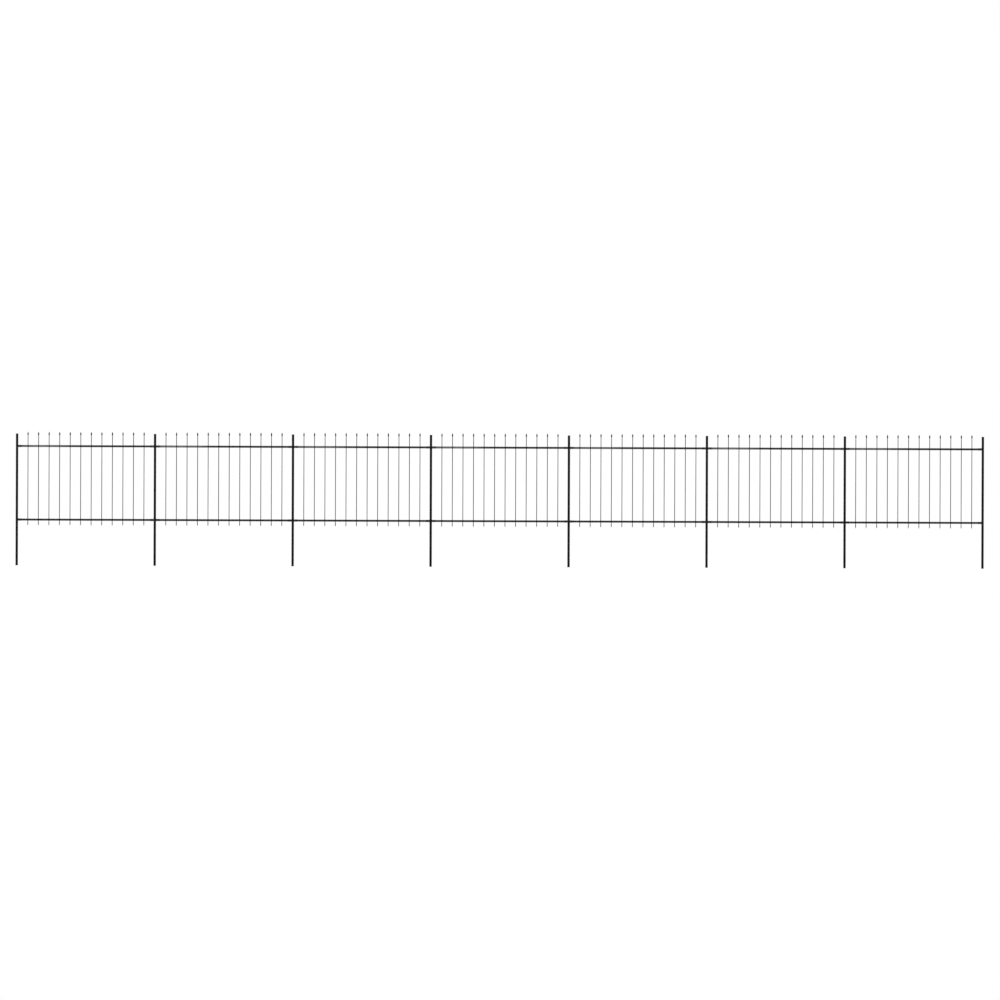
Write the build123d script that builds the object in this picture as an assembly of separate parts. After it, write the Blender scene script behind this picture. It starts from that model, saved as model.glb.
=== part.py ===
"""Garden fence of seven bays: round posts, square rails and spear-topped pickets.

Millimetres. The origin is the centre of the left end post's foot. The fence
runs along +X, +Z is up, and the pickets stand on the -Y face of the rails.
"""

import math
import os

from build123d import *

os.makedirs("parts", exist_ok=True)

# Whole fence
BAY_COUNT = 7
BAY_LENGTH = 1700.0
LOWER_RAIL_HEIGHT = 564.0
RAIL_SPACING = 906.5

# Posts of round tube, and their caps
POST_DIAMETER = 30.0
POST_WALL = 1.5
POST_RISE_ABOVE_RAIL = 149.5
CAP_OVERHANG = 1.0
CAP_HEAD_HEIGHT = 5.0
CAP_EDGE_CHAMFER = 1.5
CAP_SPIGOT_LENGTH = 14.0
CAP_SPIGOT_CLEARANCE = 0.3

# Rails of square tube
RAIL_HEIGHT = 25.0
RAIL_DEPTH = 25.0
RAIL_WALL = 1.2
RAIL_CORNER_CHAMFER = 1.5
RAIL_END_GAP = 1.5

# Brackets, forked over the rail ends and fixed to the posts by their webs
BRACKET_SHEET = 1.5
BRACKET_REACH = 46.0
BRACKET_OVERHANG = 1.5
BRACKET_RAIL_CLEARANCE = 0.3
BRACKET_SEAT_GAP = 0.3
BOLT_REACH = 29.0
BOLT_HOLE_SIDE = 6.6

# Pickets of solid bar, forged flat at both ends
PICKET_DIAMETER = 9.0
PICKET_PITCH = 130.0
BRACKET_TO_PICKET = 40.0
SPEAR_RISE_ABOVE_RAIL = 176.5
SPEAR_WIDTH = 16.0
SPEAR_POINT_LENGTH = 21.0
SPEAR_BLADE_LENGTH = 14.5
SPEAR_NECK_LENGTH = 9.0
TAIL_DROP_BELOW_RAIL = 73.5
TAIL_WIDTH = 11.5
TAIL_POINT_LENGTH = 23.0
TAIL_NECK_LENGTH = 14.0
TIP_EDGE = 1.5

# Worked out from the sizes above
UPPER_RAIL_HEIGHT = LOWER_RAIL_HEIGHT + RAIL_SPACING
POST_RADIUS = POST_DIAMETER / 2
POST_LENGTH = UPPER_RAIL_HEIGHT + POST_RISE_ABOVE_RAIL
BRACKET_START = POST_RADIUS + BRACKET_SEAT_GAP
BRACKET_END = POST_RADIUS + BRACKET_REACH
BRACKET_SLOT_DEPTH = RAIL_DEPTH + 2 * BRACKET_RAIL_CLEARANCE
BRACKET_DEPTH = BRACKET_SLOT_DEPTH + 2 * BRACKET_SHEET
BRACKET_HEIGHT = RAIL_HEIGHT + 2 * BRACKET_OVERHANG
BOLT_POSITION = POST_RADIUS + BOLT_REACH
RAIL_START = BRACKET_START + BRACKET_SHEET + RAIL_END_GAP
RAIL_LENGTH = BAY_LENGTH - 2 * RAIL_START
SPEAR_APEX = UPPER_RAIL_HEIGHT + SPEAR_RISE_ABOVE_RAIL
TAIL_APEX = LOWER_RAIL_HEIGHT - TAIL_DROP_BELOW_RAIL


def post():
    """One upright: a plain round tube, open at the foot."""
    wall = Circle(POST_RADIUS) - Circle(POST_RADIUS - POST_WALL)
    return extrude(wall, POST_LENGTH)


def post_cap():
    """A cap with a chamfered head on the tube's rim and an eight-cornered spigot down its bore."""
    head = extrude(Circle(POST_RADIUS + CAP_OVERHANG), CAP_HEAD_HEIGHT)
    head = chamfer(head.edges().group_by(Axis.Z)[-1], CAP_EDGE_CHAMFER)
    bore_radius = POST_RADIUS - POST_WALL
    spigot = extrude(RegularPolygon(bore_radius - CAP_SPIGOT_CLEARANCE, 8), -CAP_SPIGOT_LENGTH)
    return Pos(0, 0, POST_LENGTH) * (head + spigot)


def bolt_punch(depth):
    """The square punch that cuts one bolt hole right through along Y."""
    return Box(BOLT_HOLE_SIDE, depth, BOLT_HOLE_SIDE)


def bracket(height):
    """The fork on the +X side of a post, at a rail's height, with its bolt holes."""
    length = BRACKET_END - BRACKET_START
    plan = Rectangle(length, BRACKET_DEPTH, align=(Align.MIN, Align.CENTER))
    slot = Rectangle(length, BRACKET_SLOT_DEPTH, align=(Align.MIN, Align.CENTER))
    plan -= Pos(BRACKET_SHEET, 0) * slot
    fork = extrude(plan, BRACKET_HEIGHT / 2, both=True)
    fork -= Pos(BOLT_POSITION - BRACKET_START, 0, 0) * bolt_punch(2 * BRACKET_DEPTH)
    return Pos(BRACKET_START, 0, height) * fork


def rail(height):
    """A square tube between two posts, open at its ends and punched for the bolts."""
    outline = Rectangle(RAIL_DEPTH, RAIL_HEIGHT)
    outline = chamfer(outline.vertices(), RAIL_CORNER_CHAMFER)
    wall = outline - offset(outline, -RAIL_WALL, kind=Kind.INTERSECTION)
    tube = extrude(Plane.YZ * wall, RAIL_LENGTH)
    for bolt_x in (BOLT_POSITION, BAY_LENGTH - BOLT_POSITION):
        tube -= Pos(bolt_x - RAIL_START, 0, 0) * bolt_punch(2 * RAIL_DEPTH)
    return Pos(RAIL_START, 0, height) * tube


def mirrored_outline(stations):
    """A closed face from the full widths at some heights, alike on both sides of its axis."""
    right = [(width / 2, height) for height, width in stations]
    left = [(-across, height) for across, height in reversed(right) if across > 0]
    return make_face(Polyline(*right, *left, close=True))


def picket():
    """One upright bar, eight-sided, forged to a flat spear above and a flat point below.

    It is what four outlines share: from the front, from the side and across
    the two diagonals. A forged flat keeps the bar's section area, so its
    thickness follows from its width.
    """
    section_area = math.pi * PICKET_DIAMETER**2 / 4
    spear_thickness = section_area / SPEAR_WIDTH
    tail_thickness = section_area / TAIL_WIDTH
    diagonal_spear = (SPEAR_WIDTH + spear_thickness) / math.sqrt(2)
    diagonal_tail = (TAIL_WIDTH + tail_thickness) / math.sqrt(2)
    tail_top = TAIL_APEX + TAIL_POINT_LENGTH
    spear_shoulder = SPEAR_APEX - SPEAR_POINT_LENGTH
    neck_top = spear_shoulder - SPEAR_BLADE_LENGTH
    shaft = [
        (tail_top + TAIL_NECK_LENGTH, PICKET_DIAMETER),
        (neck_top - SPEAR_NECK_LENGTH, PICKET_DIAMETER),
    ]
    front = mirrored_outline([
        (TAIL_APEX, 0),
        (tail_top, TAIL_WIDTH),
        *shaft,
        (neck_top, SPEAR_WIDTH),
        (spear_shoulder, SPEAR_WIDTH),
        (SPEAR_APEX, 0),
    ])
    side = mirrored_outline([
        (TAIL_APEX, TIP_EDGE),
        (tail_top, tail_thickness),
        *shaft,
        (neck_top, spear_thickness),
        (SPEAR_APEX, TIP_EDGE),
    ])
    diagonal = mirrored_outline([
        (TAIL_APEX, diagonal_tail),
        (tail_top, diagonal_tail),
        *shaft,
        (neck_top, diagonal_spear),
        (SPEAR_APEX, diagonal_spear),
    ])
    bar = extrude(Plane.XZ * front, SPEAR_WIDTH, both=True)
    bar &= extrude(Plane.YZ * side, SPEAR_WIDTH, both=True)
    for turn in (45, -45):
        bar &= Rot(0, 0, turn) * extrude(Plane.YZ * diagonal, SPEAR_WIDTH, both=True)
    return bar


def picket_places():
    """The pickets' places along a bay, evenly pitched and centred in it."""
    least_margin = BRACKET_END + BRACKET_TO_PICKET + PICKET_DIAMETER / 2
    gaps = int((BAY_LENGTH - 2 * least_margin) / PICKET_PITCH)
    first = (BAY_LENGTH - gaps * PICKET_PITCH) / 2
    return [first + index * PICKET_PITCH for index in range(gaps + 1)]


def fence_panel():
    """One bay's welded panel: two rails with the pickets across their front faces."""
    bar = picket()
    front_of_rail = -(RAIL_DEPTH + PICKET_DIAMETER) / 2
    bars = [Pos(place, front_of_rail, 0) * bar for place in picket_places()]
    return rail(LOWER_RAIL_HEIGHT) + [rail(UPPER_RAIL_HEIGHT), *bars]


def rail_brackets(height):
    """The two forks that hold one rail, one on each of its bay's posts."""
    left = bracket(height)
    right = Pos(BAY_LENGTH, 0, 0) * mirror(left, Plane.YZ)
    return Compound(children=[left, right])


def caps_on_posts(post_indices):
    """The caps of some of the posts, counted from zero at the left end."""
    cap = post_cap()
    return Compound(children=[Pos(index * BAY_LENGTH, 0, 0) * cap for index in post_indices])


def export_in_each_place(shape, name, count):
    """Write one node for each place along the fence, a bay apart."""
    for index in range(count):
        export_step(Pos(index * BAY_LENGTH, 0, 0) * shape, f"parts/{name}_{index + 1}.step")


def main():
    export_in_each_place(post(), "post", BAY_COUNT + 1)
    export_in_each_place(fence_panel(), "fence_panel", BAY_COUNT)
    export_in_each_place(rail_brackets(LOWER_RAIL_HEIGHT), "lower_brackets", BAY_COUNT)
    export_in_each_place(rail_brackets(UPPER_RAIL_HEIGHT), "upper_brackets", BAY_COUNT)
    export_step(caps_on_posts([0, BAY_COUNT]), "parts/end_post_caps.step")
    export_step(caps_on_posts(range(1, BAY_COUNT)), "parts/middle_post_caps.step")


main()
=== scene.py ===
"""Looks of the garden fence: seven bays of spear-topped pickets between capped round posts.

Metres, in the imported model's frame. The origin is the centre of the left end
post's foot, +X runs along the fence, +Z is up, and the pickets stand on the
-Y face of the rails.
"""

import logging
import math
from collections.abc import Iterable, Sequence
from dataclasses import dataclass
from enum import Enum
from typing import Any

import bmesh
import bpy
from bmesh.types import BMEdge, BMVert
from bpy.types import ID, Material, Node, NodeSocket, NodeTree, Object, World
from mathutils import Matrix, Vector


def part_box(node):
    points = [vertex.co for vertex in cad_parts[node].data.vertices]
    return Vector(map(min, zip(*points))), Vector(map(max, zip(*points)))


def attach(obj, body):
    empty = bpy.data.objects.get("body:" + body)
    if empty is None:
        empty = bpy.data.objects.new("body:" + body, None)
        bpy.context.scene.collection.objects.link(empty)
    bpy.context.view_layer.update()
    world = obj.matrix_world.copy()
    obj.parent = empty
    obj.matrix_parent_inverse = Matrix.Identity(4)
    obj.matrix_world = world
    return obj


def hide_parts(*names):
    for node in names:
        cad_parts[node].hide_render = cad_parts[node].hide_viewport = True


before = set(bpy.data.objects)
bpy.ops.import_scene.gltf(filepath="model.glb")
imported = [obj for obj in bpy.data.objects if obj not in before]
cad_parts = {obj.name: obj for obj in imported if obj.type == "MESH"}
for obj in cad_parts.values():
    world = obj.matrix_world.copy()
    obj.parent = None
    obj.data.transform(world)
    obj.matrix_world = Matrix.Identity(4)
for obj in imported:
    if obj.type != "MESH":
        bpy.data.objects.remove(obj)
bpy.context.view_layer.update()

MM = 0.001
EDGE_ATTRIBUTE = "edge"
WORN_ABOVE_DEGREES = 30
MERGE_REACH = 0.001 * MM
PUNCH_MARGIN = 3 * MM
# Share by which a forged flat swells before its faces are hammered true
FLAT_SWELL = 0.4
# Least share of a normal along an axis that makes a face square on to it
SQUARE_ON = 0.99
# How far in the middle of a quarter round lies, as a share of its radius
ARC_MIDDLE = 1 - math.sqrt(0.5)
LEAST_ROUGHNESS = 0.05
COOLNESS = 1.025
log = logging.getLogger("garden_fence")

Colour = tuple[float, float, float, float]
Place = tuple[float, float, float]
Sockets = dict[str | int, Any]
DUST: Colour = (0.09, 0.087, 0.082, 1)


class PaintSlot(Enum):
    """The record's material slots."""

    POST = "post_paint"
    PANEL = "panel_paint"
    BRACKET = "bracket_paint"
    CAP = "cap_plastic"


class Bevelled(Enum):
    """What a bevel rounds off, by the operator's word."""

    EDGES = "EDGES"
    CORNERS = "VERTICES"


class RailLevel(Enum):
    """The two rails of a bay, by the word that starts their brackets' names."""

    LOWER = "lower"
    UPPER = "upper"


@dataclass(frozen=True)
class FencePlan:
    """Where everything stands along the fence, and the sizes that its parts share."""

    bay_count: int
    bay_length: float
    lower_rail_height: float
    upper_rail_height: float
    post_radius: float
    post_length: float
    cap_radius: float
    cap_top: float
    spigot_foot: float
    bracket_start: float
    bracket_depth: float
    bracket_height: float
    rail_start: float
    rail_side: float
    bar: float
    spear_apex: float
    tail_apex: float
    pickets_per_bay: int = 12
    picket_pitch: float = 130 * MM
    bolt_reach: float = 44 * MM
    bolt_hole: float = 6.6 * MM

    @classmethod
    def measured(cls) -> "FencePlan":
        """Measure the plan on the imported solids.

        Returns:
            The plan, in metres.
        """
        post_low, post_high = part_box("post_1")
        next_low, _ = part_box("post_2")
        cap_low, cap_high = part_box("end_post_caps")
        panel_low, panel_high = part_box("fence_panel_1")
        fork_low, fork_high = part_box(f"{RailLevel.LOWER.value}_brackets_1")
        upper_low, upper_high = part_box(f"{RailLevel.UPPER.value}_brackets_1")
        return cls(
            bay_count=sum(name.startswith("fence_panel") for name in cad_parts),
            bay_length=next_low.x - post_low.x,
            lower_rail_height=(fork_low.z + fork_high.z) / 2,
            upper_rail_height=(upper_low.z + upper_high.z) / 2,
            post_radius=post_high.x,
            post_length=post_high.z,
            cap_radius=-cap_low.x,
            cap_top=cap_high.z,
            spigot_foot=cap_low.z,
            bracket_start=fork_low.x,
            bracket_depth=fork_high.y - fork_low.y,
            bracket_height=fork_high.z - fork_low.z,
            rail_start=panel_low.x,
            rail_side=2 * panel_high.y,
            bar=-panel_low.y - panel_high.y,
            spear_apex=panel_high.z,
            tail_apex=panel_low.z,
        )

    def post_places(self) -> list[float]:
        """Give the posts' places along X."""
        return [index * self.bay_length for index in range(self.bay_count + 1)]

    def bay_starts(self) -> list[float]:
        """Give the place of each bay's left post along X."""
        return self.post_places()[:-1]

    def picket_places(self) -> list[float]:
        """Give the pickets' places in a bay, from its left post."""
        first = (self.bay_length - (self.pickets_per_bay - 1) * self.picket_pitch) / 2
        return [first + index * self.picket_pitch for index in range(self.pickets_per_bay)]

    def rail_height(self, level: RailLevel) -> float:
        """Give the height of a rail's centre line."""
        return self.lower_rail_height if level is RailLevel.LOWER else self.upper_rail_height

    def bolt_places(self) -> list[float]:
        """Give the places of a rail's two bolts, from the bay's left post."""
        return [self.bolt_reach, self.bay_length - self.bolt_reach]


class Signal:
    """A value or colour inside a material, with arithmetic on values."""

    def __init__(self, tree: NodeTree, socket: NodeSocket) -> None:
        """Wrap one output socket of a node tree."""
        self.tree = tree
        self.socket = socket

    def combined(self, operation: str, first: "Signal | float", second: "Signal | float") -> "Signal":
        """Add one Math node.

        Args:
            operation: the Math node's operation.
            first: its first value or link.
            second: its second value or link.

        Returns:
            The node's result.
        """
        node = self.tree.nodes.new("ShaderNodeMath")
        node.operation = operation
        for index, value in enumerate((first, second)):
            if isinstance(value, Signal):
                self.tree.links.new(value.socket, node.inputs[index])
            else:
                node.inputs[index].default_value = value
        return Signal(self.tree, node.outputs[0])

    def __add__(self, other: "Signal | float") -> "Signal":
        """Add a value."""
        return self.combined("ADD", self, other)

    def __radd__(self, other: float) -> "Signal":
        """Add to a number."""
        return self.combined("ADD", other, self)

    def __sub__(self, other: "Signal | float") -> "Signal":
        """Take a value away."""
        return self.combined("SUBTRACT", self, other)

    def __rsub__(self, other: float) -> "Signal":
        """Take from a number."""
        return self.combined("SUBTRACT", other, self)

    def __mul__(self, other: "Signal | float") -> "Signal":
        """Multiply by a value."""
        return self.combined("MULTIPLY", self, other)

    def __rmul__(self, other: float) -> "Signal":
        """Multiply a number."""
        return self.combined("MULTIPLY", other, self)

    def sharpened(self, power: float) -> "Signal":
        """Raise to a power, which narrows a fade."""
        return self.combined("POWER", self, power)

    def capped(self, low: float = 0.0) -> "Signal":
        """Hold the value between a number and 1."""
        return self.combined("MINIMUM", self.combined("MAXIMUM", self, low), 1.0)

    def rising(self, low: float, high: float) -> "Signal":
        """Turn a rise from one number to another into a rise from 0 to 1."""
        return ((self - low) * (1 / (high - low))).capped()


class FinishTree:
    """The node tree of one material or of the world, cleared and ready for nodes."""

    edge_sharpness: float = 6
    # The Mix node's sockets for colours, which share their names with those for values
    colour_inputs: tuple[int, int] = (6, 7)
    colour_output: int = 2
    dusty_slope: tuple[float, float] = (0.4, 0.9)
    dusty_patches: tuple[float, float] = (0.29, 0.71)

    def __init__(self, owner: Material | World) -> None:
        """Clear the owner's node tree.

        Args:
            owner: the material or world that the nodes are for.
        """
        owner.use_nodes = True
        self.tree = owner.node_tree
        self.tree.nodes.clear()

    def node(self, kind: str, settings: dict[str, Any], sockets: Sockets) -> Node:
        """Add a node.

        Args:
            kind: the node's type.
            settings: its settings, set first.
            sockets: a value, or a Signal to link, for each input by name or number.

        Returns:
            The new node.
        """
        made = self.tree.nodes.new(kind)
        for name, value in settings.items():
            setattr(made, name, value)
        for name, value in sockets.items():
            if isinstance(value, Signal):
                self.tree.links.new(value.socket, made.inputs[name])
            else:
                made.inputs[name].default_value = value
        return made

    def signal(self, kind: str, output: str | int, settings: dict[str, Any], sockets: Sockets) -> Signal:
        """Add a node and give one of its outputs, by name or number."""
        return Signal(self.tree, self.node(kind, settings, sockets).outputs[output])

    def noise(self, size: float, detail: float = 3) -> Signal:
        """Add even noise fixed to the piece.

        Args:
            size: the width of its patches in metres.
            detail: how many finer layers it has.

        Returns:
            Its value, about 0.5 on average.
        """
        place = self.signal("ShaderNodeTexCoord", "Object", {}, {})
        sockets = {"Vector": place, "Scale": 1 / size, "Detail": detail}
        return self.signal("ShaderNodeTexNoise", "Fac", {}, sockets)

    def edge_wear(self) -> Signal:
        """Read the marked edges: 1 on an edge, fading quickly to 0 off it."""
        near = self.signal("ShaderNodeAttribute", "Fac", {"attribute_name": EDGE_ATTRIBUTE}, {})
        return near.sharpened(self.edge_sharpness)

    def blend(self, share: Signal, low: Signal | Colour, high: Signal | Colour) -> Signal:
        """Mix two colours.

        Args:
            share: how much of the second there is, from 0 to 1.
            low: the first colour.
            high: the second colour.

        Returns:
            The mixed colour.
        """
        first, second = self.colour_inputs
        sockets = {"Factor": share, first: low, second: high}
        return self.signal("ShaderNodeMix", self.colour_output, {"data_type": "RGBA"}, sockets)

    def settled_dust(self, patches: Signal) -> Signal:
        """Find where dust lies.

        Args:
            patches: noise that breaks the dust up.

        Returns:
            1 in the thickest patches on upward faces, and 0 on upright ones.
        """
        facing = self.signal("ShaderNodeNewGeometry", "Normal", {}, {})
        upward = self.signal("ShaderNodeSeparateXYZ", "Z", {}, {"Vector": facing})
        return upward.rising(*self.dusty_slope) * patches.rising(*self.dusty_patches)

    def relief(self, height: Signal) -> Signal:
        """Turn a height in metres into a bumped normal."""
        sockets = {"Strength": 1.0, "Distance": 1.0, "Height": height}
        return self.signal("ShaderNodeBump", "Normal", {}, sockets)

    def finish_with(self, sockets: Sockets) -> None:
        """End the tree with the main shader, its sockets given by name."""
        shader = self.signal("ShaderNodeBsdfPrincipled", "BSDF", {}, sockets)
        self.node("ShaderNodeOutputMaterial", {}, {"Surface": shader})


@dataclass(frozen=True)
class PowderCoat:
    """Black powder coat: fine texture, orange peel, cloudy gloss, thin edges and a trace of dust."""

    name: str
    deep: float
    light: float
    specular_level: float
    roughness: float = 0.32
    edge: Colour = (0.045, 0.045, 0.046, 1)
    edge_share: float = 0.5
    worn_specks: tuple[float, float] = (0.23, 0.68)
    dust_share: float = 0.3
    texture_size: float = 0.8 * MM
    texture_depth: float = 0.025 * MM
    texture_contrast: float = 0.8
    peel_size: float = 3.5 * MM
    peel_depth: float = 0.07 * MM
    cloud_size: float = 160 * MM
    cloud_contrast: float = 1.6
    speck_size: float = 6 * MM
    speck_contrast: float = 1.2
    gloss_spread: float = 0.16
    dust_dulling: float = 0.4
    edge_polish: float = 0.08

    def material(self) -> Material:
        """Build the material.

        Returns:
            The material.
        """
        made = bpy.data.materials.new(self.name)
        paint = FinishTree(made)
        cloud, speck = paint.noise(self.cloud_size), paint.noise(self.speck_size)
        texture = paint.noise(self.texture_size, detail=1)
        peel = paint.noise(self.peel_size, detail=1)
        tone = self.cloud_contrast * (cloud - 0.5) + self.speck_contrast * (speck - 0.5)
        tone = tone + self.texture_contrast * (texture - 0.5) + 0.5
        coat = paint.blend(tone.capped(), cool_black(self.deep), cool_black(self.light))
        thin = paint.edge_wear() * speck.rising(*self.worn_specks) * self.edge_share
        worn = paint.blend(thin, coat, self.edge)
        settled = paint.settled_dust(speck) * self.dust_share
        relief = texture * self.texture_depth + peel * self.peel_depth
        rough = self.roughness + self.gloss_spread * (cloud + speck - 1)
        rough = rough + self.dust_dulling * settled - self.edge_polish * thin
        sockets = {
            "Base Color": paint.blend(settled, worn, DUST),
            "Roughness": rough.capped(LEAST_ROUGHNESS),
            "Specular IOR Level": self.specular_level,
            "Normal": paint.relief(relief),
        }
        paint.finish_with(sockets)
        return made


@dataclass(frozen=True)
class MouldedPlastic:
    """Matte black plastic with a fine spark-eroded grain, faint flow clouds and a trace of dust."""

    name: str
    deep: Colour = (0.007, 0.007, 0.007, 1)
    light: Colour = (0.014, 0.014, 0.014, 1)
    dust_share: float = 0.25
    dust_dulling: float = 0.3
    roughness: float = 0.5
    gloss_spread: float = 0.2
    specular_level: float = 0.25
    grain_size: float = 0.5 * MM
    grain_depth: float = 0.02 * MM
    grain_share: float = 0.3
    flow_size: float = 9 * MM

    def material(self) -> Material:
        """Build the material.

        Returns:
            The material.
        """
        made = bpy.data.materials.new(self.name)
        plastic = FinishTree(made)
        grain, flow = plastic.noise(self.grain_size, detail=1), plastic.noise(self.flow_size)
        tone = (1 - self.grain_share) * flow + self.grain_share * grain
        moulded = plastic.blend(tone.capped(), self.deep, self.light)
        settled = plastic.settled_dust(flow) * self.dust_share
        rough = self.roughness + self.gloss_spread * (flow - 0.5) + self.dust_dulling * settled
        sockets = {
            "Base Color": plastic.blend(settled, moulded, DUST),
            "Roughness": rough.capped(LEAST_ROUGHNESS),
            "Specular IOR Level": self.specular_level,
            "Normal": plastic.relief(grain * self.grain_depth),
        }
        plastic.finish_with(sockets)
        return made


@dataclass(frozen=True)
class BlackenedSteel:
    """Fasteners' black finish: dark oxide with mottled gloss and rubbed high spots."""

    name: str
    deep: float = 0.0025
    rubbed: float = 0.03
    metallic: tuple[float, float] = (0.2, 0.8)
    roughness: float = 0.4
    gloss_spread: float = 0.25
    rub_polish: float = 0.1
    specular_level: float = 0.15
    mottle_size: float = 2.5 * MM
    mottle_depth: float = 0.04 * MM
    rub_size: float = 6 * MM
    rub_rise: tuple[float, float] = (0.56, 0.73)
    edge_share: float = 0.6

    def material(self) -> Material:
        """Build the material.

        Returns:
            The material.
        """
        made = bpy.data.materials.new(self.name)
        oxide = FinishTree(made)
        mottle = oxide.noise(self.mottle_size)
        rub = oxide.noise(self.rub_size, detail=4).rising(*self.rub_rise)
        bare = (mottle * (rub + self.edge_share * oxide.edge_wear())).capped()
        covered, polished = self.metallic
        rough = self.roughness + self.gloss_spread * (mottle - 0.5) - self.rub_polish * rub
        sockets = {
            "Base Color": oxide.blend(bare, cool_black(self.deep), cool_black(self.rubbed)),
            "Metallic": covered + (polished - covered) * bare,
            "Roughness": rough.capped(LEAST_ROUGHNESS),
            "Specular IOR Level": self.specular_level,
            "Normal": oxide.relief(mottle * self.mottle_depth),
        }
        oxide.finish_with(sockets)
        return made


@dataclass(frozen=True)
class Section:
    """A cross-section of a forged bar at one height."""

    height: float
    width: float
    thickness: float
    flatness: float


class Workpiece:
    """A mesh that bmesh operators shape before it becomes a piece of the scene."""

    def __init__(self) -> None:
        """Start with an empty bench."""
        self.bm = bmesh.new()

    @classmethod
    def turned(cls, outline: Sequence[tuple[float, float]], segments: int, closed: bool) -> "Workpiece":
        """Spin an outline round the Z axis.

        Args:
            outline: radius and height of each corner.
            segments: the number of steps of the full turn.
            closed: whether the outline's ends meet, as round a tube's wall.

        Returns:
            The turned workpiece.
        """
        made = cls()
        verts = [made.bm.verts.new((radius, 0, height)) for radius, height in outline]
        pairs = list(zip(verts, verts[1:]))
        if closed:
            pairs.append((verts[-1], verts[0]))
        edges = [made.bm.edges.new(pair) for pair in pairs]
        bmesh.ops.spin(
            made.bm,
            geom=verts + edges,
            cent=(0, 0, 0),
            axis=(0, 0, 1),
            angle=math.tau,
            steps=segments,
            use_merge=True,
        )
        bmesh.ops.remove_doubles(made.bm, verts=made.bm.verts, dist=MERGE_REACH)
        bmesh.ops.dissolve_degenerate(made.bm, edges=made.bm.edges, dist=0.5 * MERGE_REACH)
        made.face_outwards()
        return made

    def forge(self, sections: Sequence[Section], segments: int) -> None:
        """Draw a bar up along Z through its sections and hammer its flats.

        Args:
            sections: the cross-sections from the lowest to the highest.
            segments: the number of corners round the bar.
        """
        ring = bmesh.ops.create_circle(self.bm, cap_ends=True, radius=0.5, segments=segments)["verts"]
        across, through, level = 1.0, 1.0, sections[0].height
        bmesh.ops.translate(self.bm, vec=(0, 0, level), verts=ring)
        flats = []
        for index, section in enumerate(sections):
            if index:
                ring = self.pull(ring, (0, 0, section.height - level))
            swollen = section.thickness * (1 + FLAT_SWELL * section.flatness)
            bmesh.ops.scale(self.bm, vec=(section.width / across, swollen / through, 1), verts=ring)
            across, through, level = section.width, swollen, section.height
            flats.append((ring, section.thickness / 2))
        bmesh.ops.contextual_create(self.bm, geom=self.edges_between(ring))
        for ring, reach in flats:
            for vert in ring:
                vert.co.y = max(-reach, min(reach, vert.co.y))
        self.face_outwards()

    def edges_between(self, verts: Iterable[BMVert]) -> list[BMEdge]:
        """Give the edges that join any two of these corners.

        Args:
            verts: the corners.

        Returns:
            Their edges.
        """
        ring = set(verts)
        found = {edge for vert in ring for edge in vert.link_edges}
        return [edge for edge in found if edge.verts[0] in ring and edge.verts[1] in ring]

    def pull(self, verts: Sequence[BMVert], step: Place) -> list[BMVert]:
        """Extrude the edges between some corners.

        Args:
            verts: the corners.
            step: how far to draw them.

        Returns:
            The new edges' corners.
        """
        drawn = bmesh.ops.extrude_edge_only(self.bm, edges=self.edges_between(verts))["geom"]
        moved = [item for item in drawn if isinstance(item, BMVert)]
        bmesh.ops.translate(self.bm, vec=step, verts=moved)
        return moved

    def bevel(self, what: Bevelled, parts: Sequence[BMEdge | BMVert], radius: float, steps: int) -> None:
        """Round edges or corners off.

        Args:
            what: which of the two.
            parts: the edges or corners.
            radius: how far the rounding reaches from each.
            steps: the number of faces or edges across it.
        """
        bmesh.ops.bevel(
            self.bm,
            geom=list(parts),
            offset=radius,
            offset_type="OFFSET",
            affect=what.value,
            segments=steps,
            profile=0.5,
            material=-1,
            clamp_overlap=True,
        )

    def punch(self, centre: tuple[float, float], side: float) -> None:
        """Cut a square hole along Y through every wall that it meets.

        Args:
            centre: the hole's X and Z.
            side: the hole's width and height.
        """
        half = side / 2
        along_x = [centre[0] + shift for shift in (-half - PUNCH_MARGIN, -half, half, half + PUNCH_MARGIN)]
        up_z = [centre[1] - half, centre[1] + half]
        for axis, cuts in ((Vector((1, 0, 0)), along_x), (Vector((0, 0, 1)), up_z)):
            for cut in cuts:
                everything = [*self.bm.verts, *self.bm.edges, *self.bm.faces]
                bmesh.ops.bisect_plane(
                    self.bm, geom=everything, dist=MERGE_REACH, plane_co=axis * cut, plane_no=axis
                )
        inside = [
            face
            for face in self.bm.faces
            if abs(face.normal.y) > SQUARE_ON
            and abs(face.calc_center_median().x - centre[0]) < half
            and abs(face.calc_center_median().z - centre[1]) < half
        ]
        bmesh.ops.delete(self.bm, geom=inside, context="FACES")

    def thicken(self, wall: float) -> None:
        """Give a sheet its wall, inwards from its outer face."""
        self.face_outwards()
        bmesh.ops.solidify(self.bm, geom=self.bm.faces[:], thickness=wall)

    def sharp_edges(self, degrees: float) -> list[BMEdge]:
        """Give the edges at which two faces meet at more than an angle.

        Args:
            degrees: the angle.

        Returns:
            The sharp edges.
        """
        limit = math.radians(degrees)
        joints = [edge for edge in self.bm.edges if len(edge.link_faces) == 2]
        return [edge for edge in joints if edge.calc_face_angle() > limit]

    def face_outwards(self) -> None:
        """Point every face away from the solid."""
        bmesh.ops.recalc_face_normals(self.bm, faces=self.bm.faces)

    def place(self, matrix: Matrix) -> None:
        """Move the whole workpiece."""
        bmesh.ops.transform(self.bm, matrix=matrix, verts=self.bm.verts)

    def take(self, other: "Workpiece", places: Iterable[Matrix]) -> None:
        """Add a copy of another workpiece at each place.

        Args:
            other: the workpiece to copy.
            places: where each copy goes.
        """
        for place in places:
            copy = bpy.data.meshes.new("copy")
            other.bm.to_mesh(copy)
            copy.transform(place)
            self.bm.from_mesh(copy)
            bpy.data.meshes.remove(copy)

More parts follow.
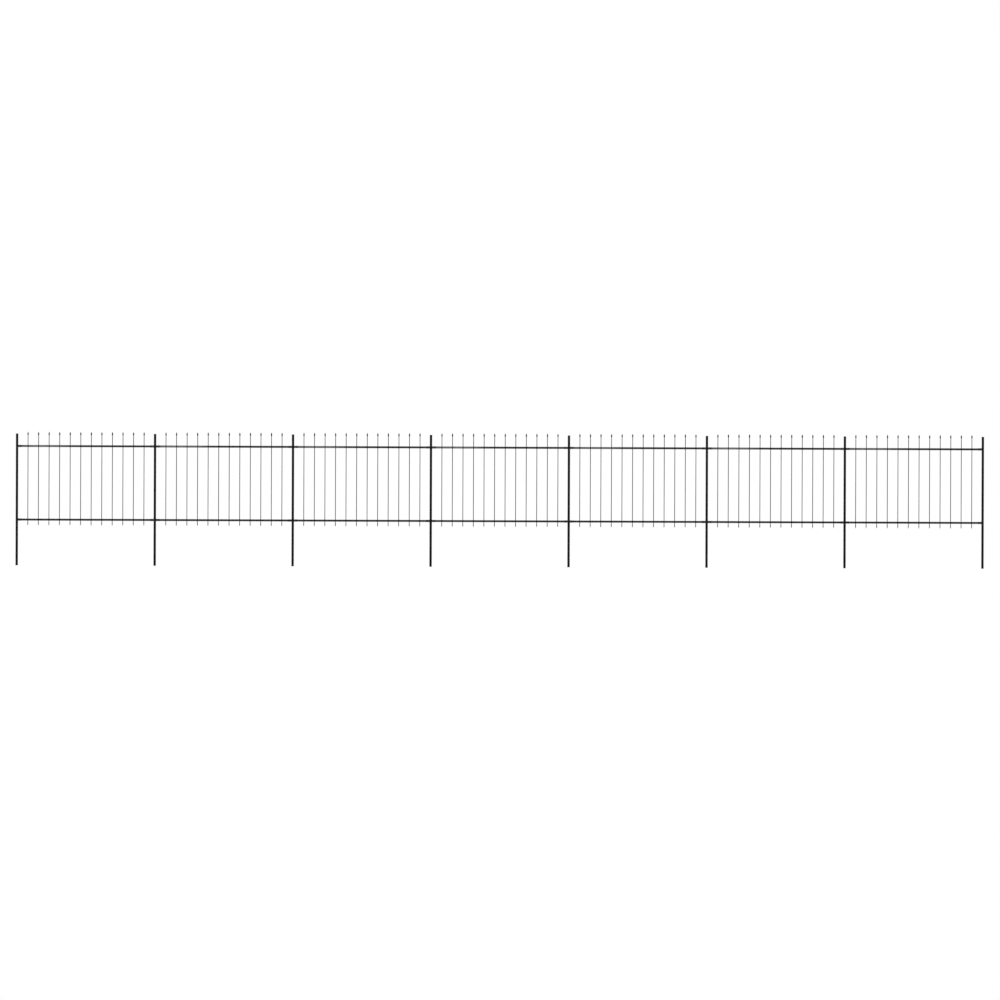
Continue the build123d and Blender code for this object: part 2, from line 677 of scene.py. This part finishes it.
    def mark_edges(self) -> None:
        """Store 1 on the corners of the sharp edges, where paint wears, and 0 on the rest."""
        near = self.bm.verts.layers.float.new(EDGE_ATTRIBUTE)
        for edge in self.sharp_edges(WORN_ABOVE_DEGREES):
            for vert in edge.verts:
                vert[near] = 1.0

    def piece(
        self,
        name: str,
        places: Iterable[Matrix],
        finish: Material,
        slot: PaintSlot | None,
        stands_for: Sequence[str] = (),
        crease: float = 32,
    ) -> None:
        """Put copies of the workpiece in the scene as one piece on the fence.

        Args:
            name: the piece's name.
            places: where each copy goes.
            finish: its material.
            slot: the record's slot that its finish belongs to; not used.
            stands_for: the solids that it replaces.
            crease: the angle in degrees above which an edge looks sharp.
        """
        laid = Workpiece()
        laid.take(self, places)
        laid.mark_edges()
        mesh = bpy.data.meshes.new(name)
        laid.bm.to_mesh(mesh)
        laid.bm.free()
        mesh.materials.append(finish)
        mesh.shade_smooth()
        mesh.set_sharp_from_angle(angle=math.radians(crease))
        made = put_in_scene(name, mesh)
        if stands_for:
            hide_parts(*stands_for)
        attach(made, "root")
        mesh.calc_loop_triangles()
        log.info("%s: %d triangles", name, len(mesh.loop_triangles))


def put_in_scene(name: str, data: ID) -> Object:
    """Make an object of some data and link it to the scene.

    Args:
        name: the object's name.
        data: its mesh, lamp or camera.

    Returns:
        The new object.
    """
    made = bpy.data.objects.new(name, data)
    bpy.context.scene.collection.objects.link(made)
    return made


def along(distance: float, height: float = 0.0) -> Matrix:
    """Give the move along the fence and up."""
    return Matrix.Translation((distance, 0, height))


def cool_black(level: float) -> Colour:
    """Give a black with a trace more blue than red."""
    return (level, level, COOLNESS * level, 1)


def eased(share: float) -> float:
    """Give a share from 0 to 1 a gentle start and end."""
    return share * share * (3 - 2 * share)


@dataclass(frozen=True)
class WeldBead:
    """A short upright weld bead with ripples, sunk in the corner that it fills."""

    length: float
    radius: float
    ripples: int
    segments: int
    ripple_depth: float = 0.16
    end_reach: float = 0.8
    end_fullness: float = 0.72
    shoulder_reach: float = 0.6
    length_spread: float = 0.08
    length_rhythm: float = 2.4

    def shape(self) -> Workpiece:
        """Turn one bead round the Z axis, centred on height 0.

        Returns:
            The bead.
        """
        half, swell = self.length / 2, self.end_reach * self.radius
        shoulder = (self.end_fullness * self.radius, half - self.shoulder_reach * swell)
        outline = [(0.0, -half), (shoulder[0], -shoulder[1])]
        pitch = (self.length - 2 * swell) / (2 * self.ripples)
        for step in range(2 * self.ripples + 1):
            fullness = 1.0 - self.ripple_depth * (step % 2)
            outline.append((fullness * self.radius, swell - half + step * pitch))
        outline += [shoulder, (0.0, half)]
        return Workpiece.turned(outline, self.segments, closed=False)

    def laid(self, spots: Sequence[Place]) -> Workpiece:
        """Lay a bead at each spot, some a little longer than others, as hand welds are.

        Args:
            spots: the beads' middles.

        Returns:
            The beads.
        """
        bead, welds = self.shape(), Workpiece()
        for number, spot in enumerate(spots):
            stretch = 1 + self.length_spread * math.sin(self.length_rhythm * number)
            welds.take(bead, [Matrix.Translation(spot) @ Matrix.Diagonal((1, 1, stretch, 1))])
        return welds


@dataclass
class Posts:
    """The eight uprights of round tube."""

    plan: FencePlan
    finish: Material
    wall: float = 1.5 * MM
    rim_radius: float = 0.35 * MM
    rim_wear: float = 4 * MM
    segments: int = 56

    def tube(self) -> Workpiece:
        """Turn one tube with slightly broken rims.

        Returns:
            The tube, on the Z axis.
        """
        outer, inner = self.plan.post_radius, self.plan.post_radius - self.wall
        rim, arc = self.rim_radius, ARC_MIDDLE * self.rim_radius
        foot = [(inner, rim + self.rim_wear), (inner, rim), (inner + rim, 0.0)]
        foot += [(outer - rim, 0.0), (outer - arc, arc), (outer, rim), (outer, rim + self.rim_wear)]
        top = [(radius, self.plan.post_length - height) for radius, height in reversed(foot)]
        return Workpiece.turned([*foot, *top], self.segments, closed=True)

    def build(self) -> None:
        """Stand a tube at each post's place."""
        tube = self.tube()
        for number, place in enumerate(self.plan.post_places(), 1):
            node = f"post_{number}"
            tube.piece(f"{node}_tube", [along(place)], self.finish, PaintSlot.POST, [node])


@dataclass
class PostCaps:
    """The moulded caps: a low crown over the tube's rim, and a hollow spigot down its bore."""

    plan: FencePlan
    finish: Material
    crown_squareness: float = 3.7
    crown_shares: tuple[float, ...] = (0.45, 0.7, 0.84, 0.925, 0.975, 0.997, 1.0)
    rim: float = 0.5 * MM
    gate_radius: float = 1.6 * MM
    gate_floor: float = 0.8
    gate_depth: float = 0.35 * MM
    spigot_radius: float = 13.2 * MM
    spigot_wall: float = 1.4 * MM
    spigot_taper: float = 0.3 * MM
    spigot_lead: float = 1.5 * MM
    lead_slope: float = 0.4
    fillet: float = 0.3 * MM
    bore_fillet: float = 1.0 * MM
    segments: int = 48

    def crown(self, share: float) -> tuple[float, float]:
        """Give one point of the crown's outline.

        Args:
            share: its share of the cap's radius.

        Returns:
            Its radius and height.
        """
        fullness = (1 - share**self.crown_squareness) ** (1 / self.crown_squareness)
        height = self.plan.cap_top - self.plan.post_length - self.rim
        return (share * self.plan.cap_radius, self.rim + fullness * height)

    def cap(self) -> Workpiece:
        """Turn one cap, its rim's underside at height 0.

        Returns:
            The cap, on the Z axis.
        """
        head, arc = self.plan.cap_radius, ARC_MIDDLE * self.rim
        top, foot = self.plan.cap_top - self.plan.post_length, self.plan.spigot_foot - self.plan.post_length
        spigot, bore = self.spigot_radius, self.spigot_radius - self.spigot_wall
        dish, end = top - self.gate_depth, spigot - self.spigot_taper
        gate = [(0.0, dish), (self.gate_floor * self.gate_radius, dish), (self.gate_radius, top)]
        crown = [self.crown(share) for share in self.crown_shares]
        seat = [(head - arc, arc), (head - self.rim, 0.0), (spigot + self.fillet, 0.0)]
        lead = [(end, foot + self.spigot_lead), (end - self.lead_slope * self.spigot_lead, foot)]
        hollow = [(bore, foot), (bore, -self.bore_fillet), (bore - self.bore_fillet, 0.0), (0.0, 0.0)]
        outline = [*gate, *crown, *seat, (spigot, -self.fillet), *lead, *hollow]
        return Workpiece.turned(outline, self.segments, closed=False)

    def build(self) -> None:
        """Press a cap into each post, the end ones as one piece and the rest as another."""
        cap = self.cap()
        first, *middle, last = [along(place, self.plan.post_length) for place in self.plan.post_places()]
        cap.piece("end_caps_moulded", [first, last], self.finish, PaintSlot.CAP, ["end_post_caps"])
        cap.piece("middle_caps_moulded", middle, self.finish, PaintSlot.CAP, ["middle_post_caps"])


@dataclass(frozen=True)
class ForgedEnd:
    """One end of a picket, forged flat and drawn to a point."""

    width: float
    point_length: float
    blade_length: float
    neck_length: float
    tip_width: float = 1.8 * MM
    tip_edge: float = 1.5 * MM
    point_fullness: float = 0.93
    point_shares: tuple[float, ...] = (0.0, 0.06, 0.2, 0.4, 0.62, 0.82, 0.95, 1.0)
    neck_steps: int = 5

    def sections(self, bar: float, apex: float, inward: int) -> list[Section]:
        """Give the sections from the apex to the round bar.

        Args:
            bar: the bar's diameter.
            apex: the height of the point.
            inward: 1 where the bar runs up from the point, and -1 where it runs down.

        Returns:
            The sections, the apex first.
        """
        thickness = math.pi * bar**2 / 4 / self.width
        flat_length = self.point_length + self.blade_length
        made = []
        for share in self.point_shares:
            reach = share * self.point_length
            width = self.tip_width + (self.width - self.tip_width) * share**self.point_fullness
            made.append((reach, width, self.edge_at(reach / flat_length, thickness), 1.0))
        if self.blade_length:
            middle = self.point_length + self.blade_length / 2
            made.append((middle, self.width, self.edge_at(middle / flat_length, thickness), 1.0))
            made.append((flat_length, self.width, thickness, 1.0))
        for step in range(1, self.neck_steps + 1):
            share = eased(step / self.neck_steps)
            reach = flat_length + self.neck_length * step / self.neck_steps
            width = self.width + (bar - self.width) * share
            made.append((reach, width, thickness + (bar - thickness) * share, 1 - share))
        return [Section(apex + inward * reach, *rest) for reach, *rest in made]

    def edge_at(self, share: float, thickness: float) -> float:
        """Give the flat's thickness at a share of its length from the apex."""
        return self.tip_edge + (thickness - self.tip_edge) * share


@dataclass
class Panels:
    """The seven welded panels: two rails of square tube with twelve pickets on their faces."""

    plan: FencePlan
    tube_finish: Material
    bar_finish: Material
    rail_wall: float = 1.2 * MM
    rail_corner: float = 2.0 * MM
    corner_steps: int = 4
    bar_segments: int = 16
    spear: ForgedEnd = ForgedEnd(
        width=16 * MM, point_length=21 * MM, blade_length=14.5 * MM, neck_length=9 * MM
    )
    tail: ForgedEnd = ForgedEnd(
        width=11.5 * MM, point_length=23 * MM, blade_length=0.0, neck_length=14 * MM
    )
    bead: WeldBead = WeldBead(length=17 * MM, radius=1.6 * MM, ripples=3, segments=6)
    bead_aside: float = 0.37
    bead_crease: float = 70

    def rail(self) -> Workpiece:
        """Shape one rail about height 0, from the left post's axis.

        Returns:
            The rail.
        """
        rail = Workpiece()
        side, length = self.plan.rail_side, self.plan.bay_length - 2 * self.plan.rail_start
        bmesh.ops.create_cube(rail.bm, size=1.0)
        bmesh.ops.scale(rail.bm, vec=(length, side, side), verts=rail.bm.verts)
        ends = [face for face in rail.bm.faces if abs(face.normal.x) > SQUARE_ON]
        bmesh.ops.delete(rail.bm, geom=ends, context="FACES_ONLY")
        long_edges = [edge for edge in rail.bm.edges if edge.calc_length() > length / 2]
        rail.bevel(Bevelled.EDGES, long_edges, self.rail_corner, self.corner_steps)
        rail.place(along(self.plan.bay_length / 2))
        for place in self.plan.bolt_places():
            rail.punch((place, 0.0), self.plan.bolt_hole)
        rail.thicken(self.rail_wall)
        return rail

    def picket(self) -> Workpiece:
        """Forge one picket about its own axis.

        Returns:
            The picket.
        """
        bar = self.plan.bar
        foot = self.tail.sections(bar, self.plan.tail_apex, 1)
        head = self.spear.sections(bar, self.plan.spear_apex, -1)
        picket = Workpiece()
        picket.forge([*foot, *reversed(head)], self.bar_segments)
        return picket

    def crossings(self) -> Workpiece:
        """Shape the weld beads of one bay, one at each side of each crossing.

        Returns:
            The beads.
        """
        face, aside = -self.plan.rail_side / 2, self.bead_aside * self.plan.bar
        spots = [
            (place + side * aside, face, self.plan.rail_height(level))
            for level in RailLevel
            for place in self.plan.picket_places()
            for side in (-1, 1)
        ]
        return self.bead.laid(spots)

    def build(self) -> None:
        """Put rails, pickets and welds into each bay."""
        rail, picket, welds = self.rail(), self.picket(), self.crossings()
        line = -(self.plan.rail_side + self.plan.bar) / 2
        for number, start in enumerate(self.plan.bay_starts(), 1):
            node = f"fence_panel_{number}"
            bay = [along(start)]
            levels = [along(start, self.plan.rail_height(level)) for level in RailLevel]
            spots = [Matrix.Translation((start + place, line, 0)) for place in self.plan.picket_places()]
            rail.piece(f"{node}_rails", levels, self.tube_finish, PaintSlot.PANEL, [node])
            picket.piece(f"{node}_pickets", spots, self.bar_finish, PaintSlot.PANEL, [node])
            welds.piece(f"{node}_welds", bay, self.bar_finish, PaintSlot.PANEL, [node], self.bead_crease)


@dataclass
class Brackets:
    """The forks of bent sheet over the rails' ends, welded to the posts by their webs."""

    plan: FencePlan
    finish: Material
    end: float = 61 * MM
    sheet: float = 1.5 * MM
    bend_radius: float = 2.4 * MM
    corner_radius: float = 4 * MM
    corner_steps: int = 4
    crease: float = 50
    edge_radius: float = 0.2 * MM
    edge_band: float = 1.6 * MM
    least_cheek: float = 4 * MM**2
    bead: WeldBead = WeldBead(length=25 * MM, radius=2.1 * MM, ripples=7, segments=8)
    bead_place: tuple[float, float] = (14 * MM, 8.4 * MM)

    def fork(self) -> Workpiece:
        """Bend one fork about height 0, with its two weld beads.

        Returns:
            The fork on the +X side of a post.
        """
        fork = Workpiece()
        start, deep, tall = self.plan.bracket_start, self.plan.bracket_depth, self.plan.bracket_height
        reach = self.end - start
        low = fork.bm.verts.new((self.end, -deep / 2, -tall / 2))
        high = fork.bm.verts.new((self.end, -deep / 2, tall / 2))
        fork.bm.edges.new((low, high))
        first_bend = fork.pull([low, high], (-reach, 0, 0))
        second_bend = fork.pull(first_bend, (0, deep, 0))
        tips = fork.pull(second_bend, (reach, 0, 0))
        bends = [*fork.edges_between(first_bend), *fork.edges_between(second_bend)]
        fork.bevel(Bevelled.EDGES, bends, self.bend_radius, self.corner_steps)
        fork.bevel(Bevelled.CORNERS, [low, high, *tips], self.corner_radius, self.corner_steps)
        fork.punch((self.plan.bolt_reach, 0.0), self.plan.bolt_hole)
        fork.thicken(self.sheet)
        fork.bevel(Bevelled.EDGES, fork.sharp_edges(self.crease), self.edge_radius, 1)
        upright = [face for face in fork.bm.faces if abs(face.normal.y) > SQUARE_ON]
        cheeks = [face for face in upright if face.calc_area() > self.least_cheek]
        bmesh.ops.inset_region(fork.bm, faces=cheeks, thickness=self.edge_band, use_even_offset=True)
        inward, aside = self.bead_place
        fork.take(self.bead.laid([(inward, -aside, 0.0), (inward, aside, 0.0)]), [along(0)])
        return fork

    def build(self) -> None:
        """Put a fork at each end of each rail."""
        fork, about = self.fork(), Matrix.Rotation(math.pi, 4, "Z")
        for level in RailLevel:
            height = self.plan.rail_height(level)
            for number, start in enumerate(self.plan.bay_starts(), 1):
                node = f"{level.value}_brackets_{number}"
                ends = [along(start, height), along(start + self.plan.bay_length, height) @ about]
                fork.piece(f"{node}_forks", ends, self.finish, PaintSlot.BRACKET, [node], self.crease)


@dataclass
class CoachBolts:
    """The bolts through brackets and rails, with a washer and a nut behind each."""

    plan: FencePlan
    finish: Material
    head_radius: float = 8.25 * MM
    head_height: float = 3.9 * MM
    head_rim: float = 0.6 * MM
    head_edge: float = 0.25 * MM
    head_arc_degrees: float = 56
    head_shares: tuple[float, ...] = (0.0, 0.21, 0.43, 0.64, 0.82, 0.93, 1.0)
    neck_side: float = 6.2 * MM
    neck_length: float = 3.4 * MM
    neck_edge: float = 0.3 * MM
    shank_radius: float = 2.95 * MM
    thread_pitch: float = 1.0 * MM
    thread_depth: float = 0.45 * MM
    thread_turns: int = 7
    washer_radius: float = 6 * MM
    washer_thickness: float = 1.6 * MM
    washer_edge: float = 0.2 * MM
    washer_clearance: float = 0.25 * MM
    nut_sides: int = 6
    nut_width: float = 10 * MM
    nut_height: float = 5 * MM
    nut_corner: float = 0.9 * MM
    nut_rim: float = 1.9 * MM
    nut_mouth: tuple[float, float] = (0.35 * MM, 0.4 * MM)
    nut_turn_degrees: float = 23
    standing_out: float = 1.4 * MM
    segments: int = 24

    def bolt(self) -> Workpiece:
        """Turn one bolt along +Z, the underside of its head at height 0.

        Returns:
            The bolt.
        """
        arc = math.radians(self.head_arc_degrees)
        head, dome = self.head_radius, self.head_height - self.head_rim
        outline = []
        for share in self.head_shares:
            fall = (1 - math.cos(share * arc)) / (1 - math.cos(arc))
            outline.append((head * math.sin(share * arc) / math.sin(arc), dome * fall - self.head_height))
        outline += [(head, -self.head_edge), (head - self.head_edge, 0.0), (self.shank_radius, 0.0)]
        end = self.plan.bracket_depth + self.washer_thickness + self.nut_height + self.standing_out
        crest, root = self.shank_radius, self.shank_radius - self.thread_depth
        start = end - (self.thread_turns + 1) * self.thread_pitch
        outline.append((crest, start))
        for turn in range(self.thread_turns):
            level = start + turn * self.thread_pitch
            outline += [(root, level + self.thread_pitch / 2), (crest, level + self.thread_pitch)]
        outline += [(root, end), (0.0, end)]
        return Workpiece.turned(outline, self.segments, closed=False)

    def neck(self) -> Workpiece:
        """Shape the square neck that sits in the bracket's square hole.

        Returns:
            The neck, under the bolt's head.
        """
        neck = Workpiece()
        bmesh.ops.create_cube(neck.bm, size=1.0)
        bmesh.ops.scale(neck.bm, vec=(self.neck_side, self.neck_side, self.neck_length), verts=neck.bm.verts)
        neck.bevel(Bevelled.EDGES, neck.bm.edges[:], self.neck_edge, 1)
        neck.place(along(0, self.neck_length / 2))
        return neck

    def washer(self) -> Workpiece:
        """Turn one washer that lies on the back of the bracket.

        Returns:
            The washer, round the bolt.
        """
        inner, outer, edge = self.shank_radius + self.washer_clearance, self.washer_radius, self.washer_edge
        low, high = self.plan.bracket_depth, self.plan.bracket_depth + self.washer_thickness
        outline = [(inner, low), (outer, low), (outer, high - edge)]
        outline += [(outer - edge, high), (inner + edge, high), (inner, high - edge)]
        return Workpiece.turned(outline, self.segments, closed=True)

    def nut(self) -> Workpiece:
        """Shape one nut on the washer, its corners chamfered and its mouth dished.

        Returns:
            The nut, round the bolt.
        """
        nut = Workpiece()
        corner = self.nut_width / 2 / math.cos(math.pi / self.nut_sides)
        bmesh.ops.create_circle(nut.bm, cap_ends=True, radius=corner, segments=self.nut_sides)
        lid = bmesh.ops.extrude_face_region(nut.bm, geom=nut.bm.faces[:])["geom"]
        raised = [item for item in lid if isinstance(item, BMVert)]
        bmesh.ops.translate(nut.bm, vec=(0, 0, self.nut_height), verts=raised)
        nut.face_outwards()
        nut.bevel(Bevelled.CORNERS, nut.bm.verts[:], self.nut_corner, 1)
        top = max(nut.bm.faces, key=lambda face: face.calc_center_median().z)
        bmesh.ops.inset_individual(nut.bm, faces=[top], thickness=self.nut_rim, depth=0.0)
        mouth, dish = self.nut_mouth
        bmesh.ops.inset_individual(nut.bm, faces=[top], thickness=mouth, depth=-dish)
        nut.place(along(0, self.plan.bracket_depth + self.washer_thickness))
        return nut

    def build(self) -> None:
        """Put four bolts into each bay, heads on the pickets' side, each nut left at its own angle."""
        round_parts, nut = Workpiece(), self.nut()
        for part in (self.bolt(), self.neck(), self.washer()):
            round_parts.take(part, [along(0)])
        front = Matrix.Translation((0, -self.plan.bracket_depth / 2, 0))
        through = front @ Matrix.Rotation(-math.pi / 2, 4, "X")
        for index, start in enumerate(self.plan.bay_starts()):
            spots = [
                along(start + place, self.plan.rail_height(level)) @ through
                for level in RailLevel
                for place in self.plan.bolt_places()
            ]
            bolts = Workpiece()
            bolts.take(round_parts, spots)
            for number, spot in enumerate(spots):
                turned = self.nut_turn_degrees * (len(spots) * index + number) % (360 / self.nut_sides)
                bolts.take(nut, [spot @ Matrix.Rotation(math.radians(turned), 4, "Z")])
            bolts.piece(f"bay_{index + 1}_bolts", [along(0)], self.finish, None)


@dataclass(frozen=True)
class Softbox:
    """One soft lamp before a bay: a lit rectangle behind a grid that keeps its beam narrow."""

    name: str
    place: Place
    direction: Place = (0, 1, 0)
    width: float = 0.5
    height: float = 0.4
    beam_degrees: float = 40
    brightness: float = 0.43

    def hang(self) -> None:
        """Put the lamp in the scene, unseen by the camera."""
        data = bpy.data.lights.new(self.name, "AREA")
        data.shape = "RECTANGLE"
        data.size, data.size_y = self.width, self.height
        data.spread = math.radians(self.beam_degrees)
        data.energy = self.brightness * math.pi * self.width * self.height
        lamp = put_in_scene(self.name, data)
        lamp.location = self.place
        lamp.rotation_euler = Vector(self.direction).to_track_quat("-Z", "Y").to_euler()
        lamp.visible_camera = False


@dataclass(frozen=True)
class DistantLamp:
    """One soft lamp that is far away and lights the whole fence alike."""

    name: str
    direction: Place
    spread_degrees: float
    brightness: float

    def hang(self) -> None:
        """Put the lamp in the scene, shining along its direction."""
        data = bpy.data.lights.new(self.name, "SUN")
        data.angle = math.radians(self.spread_degrees)
        data.energy = self.brightness * math.pi
        lamp = put_in_scene(self.name, data)
        lamp.rotation_euler = Vector(self.direction).to_track_quat("-Z", "Y").to_euler()


@dataclass
class Studio:
    """The pale floor, the white surround, the lamps and the camera."""

    plan: FencePlan
    floor_colour: Colour = (0.92, 0.92, 0.92, 1)
    floor_reach: float = 200
    ambient: float = 0.8
    bay_box_place: tuple[float, float] = (0.32, -1.9)
    picture_width: float = 12.322
    picture_centre: tuple[float, float] = (5.9527, 0.8257)
    camera_distance: float = 20
    roll_degrees: float = -0.206

    def lamps(self) -> list[Softbox | DistantLamp]:
        """List the lamps: a key in front, a weaker one behind, and a small box before each bay.

        Returns:
            The lamps.
        """
        aside, forward = self.bay_box_place
        height = self.plan.upper_rail_height
        boxes = [
            Softbox(f"bay_{index + 1}_softbox", (start + aside, forward, height))
            for index, start in enumerate(self.plan.bay_starts())
        ]
        key = DistantLamp("key_lamp", direction=(0.75, 0.8, -0.9), spread_degrees=24, brightness=0.22)
        rear = DistantLamp("rear_lamp", direction=(-0.8, -0.7, -0.8), spread_degrees=30, brightness=0.1)
        return [key, rear, *boxes]

    def floor(self) -> None:
        """Lay the plain pale floor."""
        paint = bpy.data.materials.new("studio_floor")
        tree = FinishTree(paint)
        shader = tree.signal("ShaderNodeBsdfDiffuse", "BSDF", {}, {"Color": self.floor_colour})
        tree.node("ShaderNodeOutputMaterial", {}, {"Surface": shader})
        bm = bmesh.new()
        bmesh.ops.create_grid(bm, x_segments=1, y_segments=1, size=self.floor_reach)
        mesh = bpy.data.meshes.new("studio_floor")
        bm.to_mesh(mesh)
        bm.free()
        mesh.materials.append(paint)
        made = put_in_scene("studio_floor", mesh)

    def surround(self) -> None:
        """Make the world white to the camera, gloss and glass, and softer as a light."""
        world = bpy.data.worlds.new("studio_surround")
        bpy.context.scene.world = world
        tree = FinishTree(world)
        path = tree.node("ShaderNodeLightPath", {}, {})
        rays = ("Is Camera Ray", "Is Glossy Ray", "Is Transmission Ray")
        camera, glossy, through = (Signal(tree.tree, path.outputs[ray]) for ray in rays)
        seen = (camera + glossy + through).capped()
        strength = self.ambient + (1 - self.ambient) * seen
        light = tree.signal(
            "ShaderNodeBackground", "Background", {}, {"Color": (1, 1, 1, 1), "Strength": strength}
        )
        tree.node("ShaderNodeOutputWorld", {}, {"Surface": light})

    def camera(self) -> None:
        """Set the camera square on to the fence, a fifth of a degree out of level."""
        data = bpy.data.cameras.new("camera")
        data.type = "ORTHO"
        data.ortho_scale = self.picture_width
        data.clip_end = self.floor_reach
        made = put_in_scene("camera", data)
        made.location = (self.picture_centre[0], -self.camera_distance, self.picture_centre[1])
        made.rotation_euler = (math.pi / 2, math.radians(self.roll_degrees), 0)
        bpy.context.scene.camera = made

    def build(self) -> None:
        """Set up the whole studio."""
        self.floor()
        self.surround()
        for lamp in self.lamps():
            lamp.hang()
        self.camera()
        bpy.context.scene.view_settings.view_transform = "Standard"


def main() -> None:
    """Build and dress the fence, then light it."""
    logging.basicConfig(level=logging.INFO, format="%(name)s: %(message)s")
    plan = FencePlan.measured()
    post_paint = PowderCoat("post_powder_coat", deep=0.002, light=0.009, specular_level=0.06)
    bar_paint = PowderCoat("bar_powder_coat", deep=0.002, light=0.009, specular_level=0.06)
    tube_paint = PowderCoat("tube_powder_coat", deep=0.003, light=0.012, specular_level=0.3, roughness=0.2)
    bracket_paint = PowderCoat("bracket_powder_coat", deep=0.004, light=0.015, specular_level=0.3)
    cap_plastic = MouldedPlastic("cap_black_plastic")
    bolt_steel = BlackenedSteel("bolt_black_oxide")
    Posts(plan, post_paint.material()).build()
    PostCaps(plan, cap_plastic.material()).build()
    Panels(plan, tube_paint.material(), bar_paint.material()).build()
    Brackets(plan, bracket_paint.material()).build()
    CoachBolts(plan, bolt_steel.material()).build()
    Studio(plan).build()


if __name__ == "__main__":
    main()
